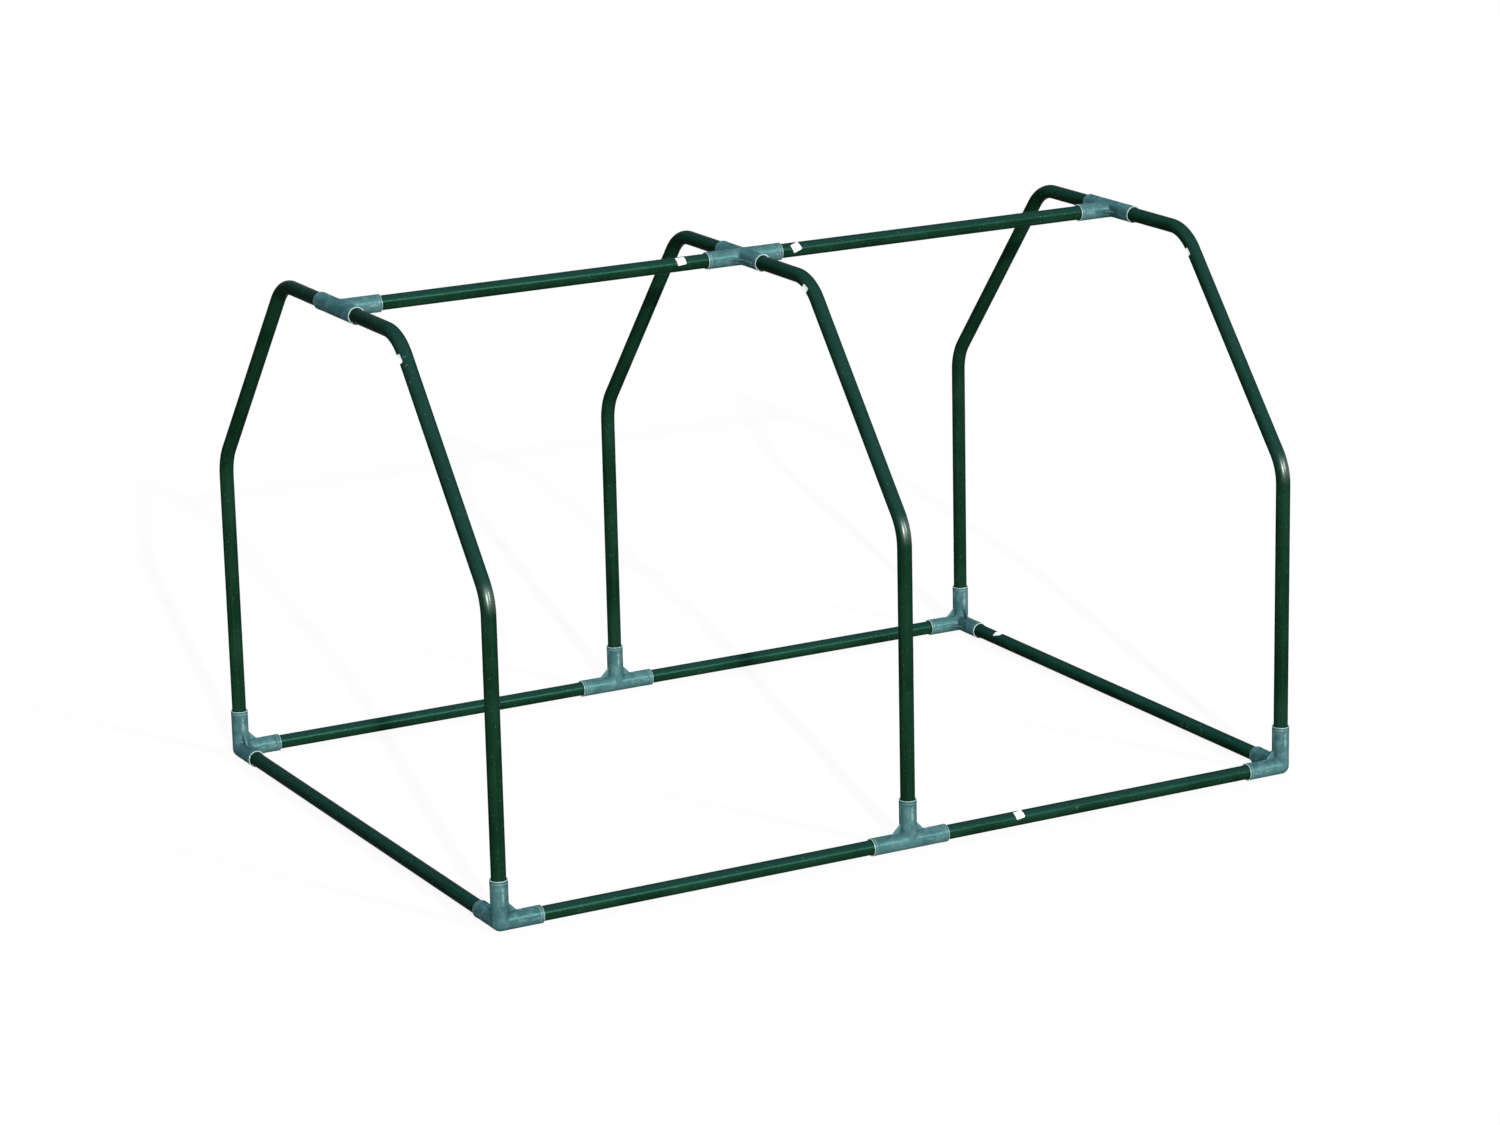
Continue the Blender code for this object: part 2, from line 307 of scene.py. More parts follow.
@dataclass(frozen=True)
class ConnectorPlastic:
    """Grey-green injection-moulded plastic.

    It has a pearly sheen in specks, is paler on thin edges, which are whitened by stress
    and carry a painted highlight, and on the parting lines, which are scuffed and carry a
    painted highlight. Its folds carry painted shade, and it is scratched by handling.
    """

    deep: Colour = (0.064, 0.176, 0.188)
    colour: Colour = (0.096, 0.236, 0.246)
    bloom: Colour = (0.190, 0.350, 0.356)
    # Pale thin edges: stress whitening with a painted highlight
    edge: Colour = (0.680, 0.920, 0.850)
    # Painted shade in the folds where the arms meet
    painted_fold_shade: Colour = (0.030, 0.075, 0.085)
    # Scratches, and the pale scuffs on parting lines widened into a painted highlight
    scratch_and_highlight: Colour = (0.600, 0.780, 0.760)
    sheen: Colour = (0.04, 0.10, 0.11)
    rough: float = 0.33
    ior: float = 1.03
    depth: float = 0.00003
    # Lean from the arm's axis in radians and patches to the metre of each set of scratches
    scratches: tuple[tuple[float, float], ...] = ((0.0, 61.0), (0.62, 47.0), (-0.38, 53.0))

    def material(self) -> Material:
        """Build the material.

        Returns:
            The material.
        """
        material, board = new_board("grey_green_plastic")
        place = board.place()
        grain = board.attribute("grain", "Vector")
        drift = board.band(board.noise(place, 30.0, 3.0), 0.36, 0.64)
        flow = board.band(board.noise(place, 120.0, 4.0, 0.62), 0.46, 0.70)
        fleck = board.noise(place, 1500.0)
        turned = board.streaks(grain, (90, 90, 4200), 1.0)
        broken = board.band(board.streaks(grain, (60, 60, 52), 3.0), 0.50, 0.58)
        glossy = board.band(board.streaks(grain, (900, 900, 330)), 0.40, 0.62)
        # Scratches, and pale scuffs on the parting lines widened into a painted highlight
        scored_and_highlit = board.attribute("parting_scuff_and_highlight") * broken * (glossy * 0.55 + 0.12)
        for lean, patches in self.scratches:
            scored_and_highlit = scored_and_highlit.maximum(self._scratches(board, grain, lean, patches))
        colour = board.tint(drift, self.deep, self.colour)
        colour = board.tint(flow * 0.5, colour, self.bloom)
        # Painted shade: darker in the folds where the arms meet
        colour = board.tint(board.attribute("fold_shade") * 0.6, colour, self.painted_fold_shade)
        # Scratches, and the parting lines' painted highlight, in pale colour
        colour = board.tint(scored_and_highlit * 0.8, colour, self.scratch_and_highlight)
        # Pale rims: stress whitening with a painted highlight
        colour = board.tint(board.attribute("rim") * 0.95, colour, self.edge)
        tooled = board.relief(turned, self.depth)
        board.principled({
            "Base Color": colour,
            "Roughness": drift * 0.08 + self.rough + flow * 0.08 + scored_and_highlit * 0.2,
            "IOR": self.ior,
            "Metallic": glossy * 0.24 + 0.14,
            "Specular Tint": (*self.sheen, 1.0),
            "Normal": board.relief(fleck * 0.4 + flow * 0.6 - scored_and_highlit * 0.8, self.depth, tooled),
        })
        return material

    @staticmethod
    def _scratches(board: Board, grain: Wire, lean: float, patches: float) -> Wire:
        """Fine scratches that lean one way, in patches.

        Args:
            board: Board of the material.
            grain: Position in the arm's frame, with its axis along Z.
            lean: Lean from the arm's axis, in radians.
            patches: Patches to the metre.

        Returns:
            Scratches, from 0 to 1.
        """
        leant = board.wire("ShaderNodeVectorRotate", "Vector", {
            "Vector": grain, "Rotation": (lean, lean * 0.8, 0.0)}, rotation_type="EULER_XYZ")
        patch = board.band(board.noise(leant, patches), 0.55, 0.65)
        return board.band(board.streaks(leant, (1300, 1300, 85)), 0.670, 0.73) * patch


@dataclass(frozen=True)
class LabelPaper:
    """White self-adhesive paper, a little grubby at its edges, with a smudge of grey."""

    colour: Colour = (0.95, 0.96, 0.95)
    grubby: Colour = (0.72, 0.73, 0.70)
    smudge: Colour = (0.36, 0.35, 0.36)
    rough: float = 0.62
    specular: float = 0.3
    depth: float = 0.00002
    # Painted light: strength at which the paper glows in its own colour, standing in for the
    # white surround's light
    glow: float = 0.42

    def material(self) -> Material:
        """Build the material.

        Returns:
            The material.
        """
        material, board = new_board("label_paper")
        place = board.place()
        edge = board.attribute("rim")
        fibre = board.noise(place, 2600.0, 3.0)
        blot = board.band(board.noise(place, 420.0), 0.60, 0.68)
        colour = board.tint(board.band(edge, 0.55, 1.0) * 0.6, self.colour, self.grubby)
        colour = board.tint(blot * (1.0 - edge) * 0.55, colour, self.smudge)
        board.principled({
            "Base Color": colour,
            "Roughness": fibre * 0.2 + self.rough,
            "Specular IOR Level": self.specular,
            # Painted light: the paper glows in its own colour
            "Emission Color": colour,
            "Emission Strength": self.glow,
            "Normal": board.relief(fibre, self.depth),
        })
        return material


@dataclass(frozen=True)
class Finishes:
    """The materials of the whole frame."""

    enamel: Material
    steel: Material
    plastic: Material
    paper: Material


def body_of(node: str) -> str:
    """Name of the body that carries a CAD node."""
    bodies = frame["record"]["behaviour"]["bodies"]
    return next(body for body, nodes in bodies.items() if node in nodes)


def write_values(mesh: Mesh, name: str, values: np.ndarray, domain: str = "POINT") -> None:
    """Write a value or a vector for each vertex or face corner.

    Args:
        mesh: Mesh to write on.
        name: Name of the attribute.
        values: One value or row of three for each element.
        domain: Element that holds it, POINT or CORNER.
    """
    kind, slot = ("FLOAT", "value") if values.ndim == 1 else ("FLOAT_VECTOR", "vector")
    held = mesh.attributes.new(name, kind, domain)
    held.data.foreach_set(slot, values.astype(np.float32).ravel())


def positions(mesh: Mesh) -> np.ndarray:
    """Vertex positions of a mesh, one row each."""
    return np.array([vertex.co for vertex in mesh.vertices], float)


def linked(name: str, data: ID) -> Object:
    """Put an object in the scene.

    Args:
        name: Name of the object.
        data: Its mesh, lamp or camera.

    Returns:
        The new object.
    """
    made = bpy.data.objects.new(name, data)
    bpy.context.scene.collection.objects.link(made)
    return made


def add_piece(name: str, mesh: Mesh, materials: Sequence[Material],
              body: str, node: str | None = None) -> None:
    """Put a finished mesh in the scene and hand it to its body.

    Args:
        name: Name of the piece.
        mesh: Its mesh, in place.
        materials: Its materials, in the order of its face indices.
        body: CAD body that it rides on.
        node: CAD node that it stands in for.
    """
    piece = linked(name, mesh)
    for material in materials:
        mesh.materials.append(material)
    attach(piece, body)
    if node:
        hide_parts(node)
    LOG.info("%s: %d faces on %s", name, len(mesh.polygons), body)


def close_ring(bm: BMesh, first: Ring, second: Ring, index: int = 0) -> None:
    """Join two rings of as many vertices with quads.

    Args:
        bm: Mesh under construction.
        first: One ring.
        second: The next ring.
        index: Material index of the faces.
    """
    for step in range(len(first)):
        face = bm.faces.new((first[step - 1], first[step], second[step], second[step - 1]))
        face.material_index = index


def finished_mesh(bm: BMesh, name: str, sharp: float = SHARP) -> Mesh:
    """Turn a closed bmesh into a smooth mesh with outward faces.

    Args:
        bm: Mesh under construction, freed here.
        name: Name of the mesh.
        sharp: Angle in degrees from which an edge stays sharp.

    Returns:
        The mesh.
    """
    bmesh.ops.recalc_face_normals(bm, faces=bm.faces)
    mesh = bpy.data.meshes.new(name)
    bm.to_mesh(mesh)
    bm.free()
    mesh.shade_smooth()
    mesh.set_sharp_from_angle(angle=math.radians(sharp))
    return mesh


def compass(azimuth: float, elevation: float) -> Vector:
    """Unit vector, by degrees from the front towards the right and above the floor."""
    turn, rise = math.radians(azimuth), math.radians(elevation)
    return Vector((math.sin(turn) * math.cos(rise), -math.cos(turn) * math.cos(rise),
                   math.sin(rise)))


@dataclass(frozen=True)
class Station:
    """Where a tube's centre line is at some distance along it."""

    centre: Vector
    side: Vector
    over: Vector
    distance: float
    bend: float

    def around(self, angle: float, radius: float) -> Vector:
        """Point on a circle about the centre line, by its angle from over to side."""
        return self.centre + (self.over * math.cos(angle) + self.side * math.sin(angle)) * radius


class CentreLine:
    """A tube's centre line: straight stretches joined by bends in one plane."""

    def __init__(self, corners: Sequence[Vector], side: Vector, bend_radius: float) -> None:
        """Lay the line through its corners.

        Args:
            corners: Both ends, and where straight stretches would cross.
            side: Direction square to the plane of the bends.
            bend_radius: Radius of each bend.
        """
        self.side = side
        self.length = 0.0
        self.parts: list[tuple[float, float, Vector, Vector, Vector | None]] = []
        here, heading = corners[0], (corners[1] - corners[0]).normalized()
        for corner, after in zip(corners[1:], corners[2:]):
            turned = (after - corner).normalized()
            angle = heading.angle(turned)
            tangent = bend_radius * math.tan(angle / 2)
            start = corner - heading * tangent
            self._add((start - here).length, here, heading)
            centre = start + heading.cross(turned).normalized().cross(heading) * bend_radius
            self._add(bend_radius * angle, start, heading, centre)
            here, heading = corner + turned * tangent, turned
        self._add((corners[-1] - here).length, here, heading)

    def _add(self, length: float, start: Vector, heading: Vector,
             centre: Vector | None = None) -> None:
        """Keep one more part of the line, which is a bend if it has a centre."""
        self.parts.append((self.length, length, start, heading, centre))
        self.length += length

    def at(self, distance: float) -> Station:
        """Station at a distance from the start.

        Args:
            distance: Distance along the line.

        Returns:
            The station.
        """
        part = next((held for held in self.parts if distance <= held[0] + held[1]),
                    self.parts[-1])
        run, length, start, heading, centre = part
        passed = distance - run
        if centre is None:
            return Station(start + heading * passed, self.side, heading.cross(self.side),
                           distance, 0.0)
        arm = start - centre
        turn = Quaternion(arm.cross(heading).normalized(), passed / arm.length)
        now = turn @ heading
        bend = math.sin(math.pi * min(max(passed / length, 0.0), 1.0))
        return Station(centre + turn @ arm, self.side, now.cross(self.side), distance, bend)

    def stops(self, straight_step: float, bend_step: float) -> list[float]:
        """Distances at which the tube needs a ring.

        Args:
            straight_step: Longest step on a straight stretch.
            bend_step: Longest step round a bend.

        Returns:
            Distances from the start to the end.
        """
        found = [0.0]
        for run, length, _, _, centre in self.parts:
            steps = math.ceil(length / (straight_step if centre is None else bend_step))
            found += [run + length * step / steps for step in range(1, steps + 1)]
        return found


@dataclass
class Tube:
    """One steel tube, enamelled outside and bare inside."""

    node: str
    line: CentreLine
    offset: float
    radius: float = 0.0080
    wall: float = 0.0006
    burr: float = 0.00018
    sides: int = 56
    straight_step: float = 0.030
    bend_step: float = 0.0030
    flattening: float = 0.030
    bulge: float = 0.012
    # Cosine of the angle off the outside of a bend: none burnished up to the first, all
    # from the second
    burnished: tuple[float, float] = (0.62, 0.88)

    def _ring(self, bm: BMesh, station: Station, radius: float,
              facts: list[tuple[float, ...]]) -> Ring:
        """Add one ring and note what its vertices carry.

        Args:
            bm: Mesh under construction.
            station: Where the ring is.
            radius: Its radius.
            facts: List that takes each vertex's grain, end gap and burnish.

        Returns:
            The ring.
        """
        ring = []
        gap = min(station.distance, self.line.length - station.distance)
        for step in range(self.sides):
            angle = math.tau * step / self.sides
            over = radius * math.cos(angle)
            side = radius * math.sin(angle)
            point = (station.centre + station.over * over * (1 - self.flattening * station.bend)
                     + station.side * side * (1 + self.bulge * station.bend))
            ring.append(bm.verts.new(point))
            outside = np.interp(math.cos(angle), self.burnished, (0.0, 1.0))
            facts.append((side, over, station.distance + self.offset, gap,
                          outside * station.bend ** 2))
        return ring

    def mesh(self) -> Mesh:
        """Build the tube's mesh: the outside, the cut ends and the bore.

        Returns:
            The mesh, in place.
        """
        bm = bmesh.new()
        facts: list[tuple[float, ...]] = []
        stops = self.line.stops(self.straight_step, self.bend_step)
        inner = self.radius - self.wall
        first, last = self.line.at(stops[0]), self.line.at(stops[-1])
        eased = [self.line.at(self.burr)] + [self.line.at(stop) for stop in stops[1:-1]]
        eased.append(self.line.at(stops[-1] - self.burr))
        loop = [(first, self.radius - self.burr, 1)]
        loop += [(station, self.radius, 0) for station in eased]
        loop += [(last, self.radius - self.burr, 0), (last, inner, 1)]
        loop += [(self.line.at(stop), inner, 1) for stop in reversed(stops[:-1])]
        rings = [self._ring(bm, station, radius, facts) for station, radius, _ in loop]
        for step, (_, _, index) in enumerate(loop):
            close_ring(bm, rings[step - 1], rings[step], index)
        mesh = finished_mesh(bm, self.node)
        table = np.array(facts)
        write_values(mesh, "grain", table[:, :3])
        write_values(mesh, "end_gap", table[:, 3])
        write_values(mesh, "burnish", table[:, 4])
        write_values(mesh, "upward", np.array([vertex.normal.z for vertex in mesh.vertices]))
        return mesh

    def build(self, finishes: Finishes) -> None:
        """Add the tube to the scene."""
        add_piece(f"{self.node}_enamelled", self.mesh(), [finishes.enamel, finishes.steel],
                  body_of(self.node), self.node)


class Way(Enum):
    """Direction that an arm of a moulding points in."""

    RIGHT = (1, 0, 0)
    LEFT = (-1, 0, 0)
    BACK = (0, 1, 0)
    FRONT = (0, -1, 0)
    UP = (0, 0, 1)
    DOWN = (0, 0, -1)

    @property
    def vector(self) -> np.ndarray:
        """Unit vector of the direction."""
        return np.array(self.value, float)

    @property
    def axes(self) -> np.ndarray:
        """Two unit vectors square to the direction, then its own."""
        return np.array([np.roll(np.abs(self.vector), turn) for turn in (1, 2)] + [self.vector])

    @property
    def opposite(self) -> "Way":
        """The way that points back."""
        return Way(tuple(-value for value in self.value))

    def polar(self, points: np.ndarray) -> tuple[np.ndarray, np.ndarray, np.ndarray]:
        """Where points are along and round the axis.

        Args:
            points: Points, one row each.

        Returns:
            Distance along the axis, vector away from it and distance from it.
        """
        along = points @ self.vector
        spoke = points - np.outer(along, self.vector)
        return along, spoke, np.linalg.norm(spoke, axis=1)


@dataclass
class Moulding:
    """One push-fit connector, moulded about the crossing of its arms' axes."""

    node: str
    centre: Vector
    ways: tuple[Way, ...]
    arm_radius: float = 0.0096
    bore_radius: float = 0.0083
    stop_distance: float = 0.0120
    reach: float = 0.0465
    hub_end: float = 0.0165
    fillet: float = 0.0032
    flash_height: float = 0.00007
    # Degrees beside a parting line at which there are points, the last at the flash's foot
    flash_angles: tuple[float, float] = (1.2, 2.4)
    facet: float = 5.625
    hub_rings: int = 10
    web_reach: float = 0.0101
    web_thickness: float = 0.0020
    web_round: float = 0.00045
    web_segments: int = 4
    # Rounds in which a ring settles on the fillet's surface
    rounds: int = 40
    # Shares of an arm's plain length at which it has a ring, and of its bore's
    arm_stops: tuple[float, ...] = (0.12, 0.4, 0.7, 0.97)
    bore_stops: tuple[float, ...] = (0.75, 0.5, 0.25, 0.0)
    # Where marks lie: rims and the bead behind them, pale with a painted highlight, with the
    # widths over which they fade, the far end of the parting lines' painted highlight and its
    # fade in degrees, and how far the painted shade of folds and the webs reach off the arms
    rim_fade: float = 0.0009
    bead_back: float = 0.0036
    bead_fade: float = 0.0005
    parting_back: float = 0.0062
    parting_fade: float = 8.0
    fold_reach: float = 0.0025
    web_foot: float = 0.0002
    # Strength of a parting line's painted highlight before it is cut off at 1, and of the
    # pale rims of beads and webs, with their painted highlight
    parting_mark: float = 1.2
    bead_mark: float = 0.35
    web_mark: float = 0.6
    grain_step: float = 0.31
    # Distance back from the mouth and rise over the arm, from the arm out to the lip
    mouth: tuple[tuple[float, float], ...] = (
        (0.00640, 0.0), (0.00610, -0.00005), (0.00580, 0.00004), (0.00430, 0.00004),
        (0.00405, 0.00012), (0.00375, 0.00019), (0.00345, 0.00019), (0.00315, 0.00012),
        (0.00290, 0.00002), (0.00130, 0.00002), (0.00100, 0.00010), (0.00070, 0.00018),
        (0.00035, 0.00019), (0.00012, 0.00013), (0.0, 0.0),
    )
    # Distance back from the mouth and radius, from the lip in to the stop wall
    throat: tuple[tuple[float, float], ...] = (
        (0.0, 0.00880), (0.00010, 0.00868), (0.00050, 0.00834), (0.00075, 0.00830),
    )

    def quarter(self) -> list[float]:
        """Angles of a quarter turn, closer together beside the parting lines.

        Returns:
            Angles in degrees, from 0 to 90.
        """
        even = [self.facet * step for step in range(round(90 / self.facet) + 1)]
        near = list(self.flash_angles)
        return sorted(even + near + [90 - angle for angle in near])

    def angles(self) -> np.ndarray:
        """Angles of a full turn, in radians."""
        quarter = self.quarter()[:-1]
        return np.radians([90 * turn + angle for turn in range(4) for angle in quarter])

    def _fillet(self, points: np.ndarray, way: Way) -> np.ndarray:
        """Height of the fillet where an arm meets its neighbours.

        Args:
            points: Points beside the arm.
            way: The arm's way.

        Returns:
            Height over the arm's own surface at each point.
        """
        gaps, normals = {}, {}
        for other in self.ways:
            along = np.maximum(points @ other.vector, 0)[:, None]
            radial = points - along * other.vector
            gaps[other] = np.linalg.norm(radial, axis=1)
            normals[other] = radial / np.maximum(gaps[other], TINY)[:, None]
        height = np.zeros(len(points))
        for other in self.ways:
            if other is way:
                continue
            share = np.clip(1 - np.abs(gaps[way] - gaps[other]) / self.fillet, 0, 1)
            facing = 1 - np.sum(normals[way] * normals[other], axis=1)
            height = np.maximum(height, self.fillet / 4 * share ** 2 * facing)
        return height

    def _flash(self, angles: np.ndarray) -> np.ndarray:
        """Height of the mould's flash lines round an arm.

        Args:
            angles: Angles round the arm, in radians.

        Returns:
            Height at each angle.
        """
        off = np.degrees(angles) % 90
        off = np.minimum(off, 90 - off)
        return self.flash_height * np.clip(1 - off / self.flash_angles[1], 0, 1)

    def _arm_rings(self, way: Way) -> list[np.ndarray]:
        """Rings of one arm, from the middle of the moulding out and back into the bore.

        Args:
            way: The arm's way.

        Returns:
            Points of each ring.
        """
        first, second, ahead = way.axes
        angles = self.angles()
        around = np.outer(np.cos(angles), first) + np.outer(np.sin(angles), second)
        beside = [around @ other.vector for other in self.ways
                  if other not in (way, way.opposite)]
        slope = np.maximum(np.max(beside, axis=0), 0)
        slope[slope < TINY] = 0
        spread = np.full(len(angles), self.arm_radius)
        seam = around + np.outer(slope, ahead)
        for _ in range(self.rounds):
            spread = self.arm_radius + self._fillet(seam * spread[:, None], way)
        rings = [seam * spread[:, None]]
        start = slope * spread
        for step in range(1, self.hub_rings + 1):
            along = start + (self.hub_end - start) * step / self.hub_rings
            middle, radius = np.outer(along, ahead), spread
            for _ in range(self.rounds):
                radius = self.arm_radius + self._fillet(middle + around * radius[:, None], way)
            rings.append(middle + around * radius[:, None])
        plain = self.reach - self.mouth[0][0] - self.hub_end
        bore = self.reach - self.stop_distance
        profile = [(self.hub_end + plain * share, self.arm_radius + self._flash(angles))
                   for share in self.arm_stops]
        profile += [(self.reach - back, self.arm_radius + rise) for back, rise in self.mouth]
        profile += [(self.reach - back, radius) for back, radius in self.throat]
        profile += [(self.stop_distance + bore * share, self.bore_radius)
                    for share in self.bore_stops]
        return rings + [ahead * along + around * np.reshape(radius, (-1, 1))
                        for along, radius in profile]

    def _add_arm(self, bm: BMesh, way: Way) -> None:
        """Add one arm with its bore, closed by the stop wall.

        Args:
            bm: Mesh under construction.
            way: The arm's way.
        """
        rings = [[bm.verts.new(point) for point in ring] for ring in self._arm_rings(way)]
        for first, second in zip(rings, rings[1:]):
            close_ring(bm, first, second)
        stop = bm.verts.new(way.vector * self.stop_distance)
        for step in range(len(rings[-1])):
            bm.faces.new((rings[-1][step - 1], rings[-1][step], stop))

    def _add_elbow(self, bm: BMesh) -> None:
        """Close the back of a corner, if this is one, with an eighth of a ball.

        Args:
            bm: Mesh under construction.
        """
        missing = [way for way in Way if way not in self.ways]
        if any(way.opposite in missing for way in missing):
            return
        sines = np.sin(np.radians(self.quarter()))
        count = len(sines) - 1
        outward = [way.vector for way in missing]
        grid = {}
        for a in range(count + 1):
            for b in range(count + 1 - a):
                parts = (sines[a], sines[b], sines[count - a - b])
                point = sum(part * axis for part, axis in zip(parts, outward))
                point *= self.arm_radius / np.linalg.norm(point)
                grid[a, b] = bm.verts.new(point)
        for a in range(count):
            for b in range(count - a):
                bm.faces.new((grid[a, b], grid[a + 1, b], grid[a, b + 1]))
                if a + b < count - 1:
                    bm.faces.new((grid[a + 1, b], grid[a + 1, b + 1], grid[a, b + 1]))

    def web_pairs(self) -> list[tuple[Way, Way]]:
        """Pairs of arms with a web between them."""
        return [(first, second) for place, first in enumerate(self.ways)
                for second in self.ways[place + 1:] if second is not first.opposite]

    def _webs(self) -> Object:
        """Add thin triangular webs between the arms, with rounded free edges.

        Returns:
            One object that holds them all.
        """
        bm = bmesh.new()
        root, arm, tip = self.bore_radius, self.arm_radius, self.arm_radius + self.web_reach
        outline = [(root, root), (tip, root), (tip, arm), (arm, tip), (root, tip)]
        free = []
        for first, second in self.web_pairs():
            u, v = Vector(first.vector), Vector(second.vector)
            half = u.cross(v) * self.web_thickness / 2
            low = [bm.verts.new(u * a + v * b - half) for a, b in outline]
            high = [bm.verts.new(u * a + v * b + half) for a, b in outline]
            bm.faces.new(low)
            bm.faces.new(reversed(high))
            close_ring(bm, low, high)
            free += [bm.edges.get(pair[2:4]) for pair in (low, high)]
        bmesh.ops.bevel(bm, geom=free, offset=self.web_round, segments=self.web_segments,
                        profile=0.5, affect="EDGES", clamp_overlap=True)
        return linked("webs", finished_mesh(bm, "webs"))

    def _marks(self, points: np.ndarray) -> dict[str, np.ndarray]:
        """How near each point is to a thin edge, in a fold and to a parting line, for the pale
        edges with their painted highlight, the painted shade in folds and the parting lines'
        painted highlight.

        Args:
            points: Points on the moulding, from its centre.

        Returns:
            Rim, fold shade and parting scuff with its highlight, each from 0 to 1.
        """
        rim, fold_shade, parting_scuff_and_highlight = np.zeros((3, len(points)))
        for way in self.ways:
            along, spoke, radial = way.polar(points)
            # Parting lines: pale scuffs widened into a painted highlight
            off = np.sort(np.abs(spoke), axis=1)[:, 1] / np.maximum(radial, TINY)
            plain = (along > self.hub_end) & (along < self.reach - self.parting_back)
            beside = np.degrees(np.arcsin(np.clip(off, 0, 1)))
            line = self.parting_mark - beside / self.parting_fade
            outside = radial > (self.bore_radius + self.arm_radius) / 2
            parting_scuff_and_highlight = np.maximum(parting_scuff_and_highlight, np.clip(line, 0, 1) * plain * outside)
            # Lips and beads: stress whitening with a painted highlight
            back = self.reach - along
            lip = np.clip(1 - np.abs(back) / self.rim_fade, 0, 1)
            bead = np.clip(1 - np.abs(back - self.bead_back) / self.bead_fade, 0, 1)
            edge = np.maximum(lip, bead * self.bead_mark)
            rim = np.maximum(rim, edge * (along > self.hub_end))
            # Painted shade in the folds where the arms meet
            own = (radial < self.arm_radius + self.fold_reach) & (along > 0)
            height = self._fillet(points, way) / (self.fillet / 4)
            fold_shade = np.maximum(fold_shade, np.clip(height, 0, 1) * own)
        # Web edges: stress whitening with a painted highlight
        for first, second in self.web_pairs():
            u, v = points @ first.vector, points @ second.vector
            over = (u + v - (2 * self.arm_radius + self.web_reach)) / math.sqrt(2)
            on_web = np.minimum(u, v) > self.arm_radius + self.web_foot
            edge = np.clip(1 + over / self.rim_fade, 0, 1) * on_web
            rim = np.maximum(rim, edge * self.web_mark)
            fold_shade = np.where(on_web, 0.0, fold_shade)
        return {"rim": rim, "fold_shade": fold_shade, "parting_scuff_and_highlight": parting_scuff_and_highlight}

    def _grain(self, mesh: Mesh) -> np.ndarray:
        """Position of each face corner in the frame of the arm that the face is on.

        Args:
            mesh: Mesh of the moulding, about its centre.

        Returns:
            One position for each face corner, with the arm's axis along Z.
        """
        points = positions(mesh)
        corners = np.array([loop.vertex_index for loop in mesh.loops])
        sizes = np.array([len(face.vertices) for face in mesh.polygons])
        middles = np.array([face.center for face in mesh.polygons])
        gaps = []
        for way in self.ways:
            along, _, radial = way.polar(middles)
            gaps.append(np.where(along > 0, np.abs(radial - self.arm_radius), 1.0))
        owner = np.repeat(np.argmin(gaps, axis=0), sizes)
        grain = np.zeros((len(corners), 3))
        for place, way in enumerate(self.ways):
            turned = points[corners] @ way.axes.T
            turned[:, 2] += self.grain_step * (place + 1)
            grain[owner == place] = turned[owner == place]
        return grain

    def mesh(self) -> Mesh:
        """Build the moulding's mesh: arms, elbow and webs fused, with its marks.

        Returns:
            The mesh, in place.
        """
        bm = bmesh.new()
        for way in self.ways:
            self._add_arm(bm, way)
        self._add_elbow(bm)
        bmesh.ops.remove_doubles(bm, verts=bm.verts, dist=WELD_DISTANCE)
        body, webs = linked("arms", finished_mesh(bm, "arms", MOULDED_SHARP)), self._webs()
        union = body.modifiers.new("webs", "BOOLEAN")
        union.operation = "UNION"
        union.object = webs
        solid = body.evaluated_get(bpy.context.evaluated_depsgraph_get())
        mesh = bpy.data.meshes.new_from_object(solid)
        for used in (body, webs):
            bpy.data.objects.remove(used, do_unlink=True)
        mesh.name = self.node
        for name, values in self._marks(positions(mesh)).items():
            write_values(mesh, name, values)
        write_values(mesh, "grain", self._grain(mesh), "CORNER")
        mesh.transform(Matrix.Translation(self.centre))
        mesh.materials.clear()
        mesh.shade_smooth()
        mesh.set_sharp_from_angle(angle=math.radians(MOULDED_SHARP))
        return mesh

    def build(self, finishes: Finishes) -> None:
        """Add the moulding to the scene."""
        add_piece(f"{self.node}_moulding", self.mesh(), [finishes.plastic],
                  body_of(self.node), self.node)


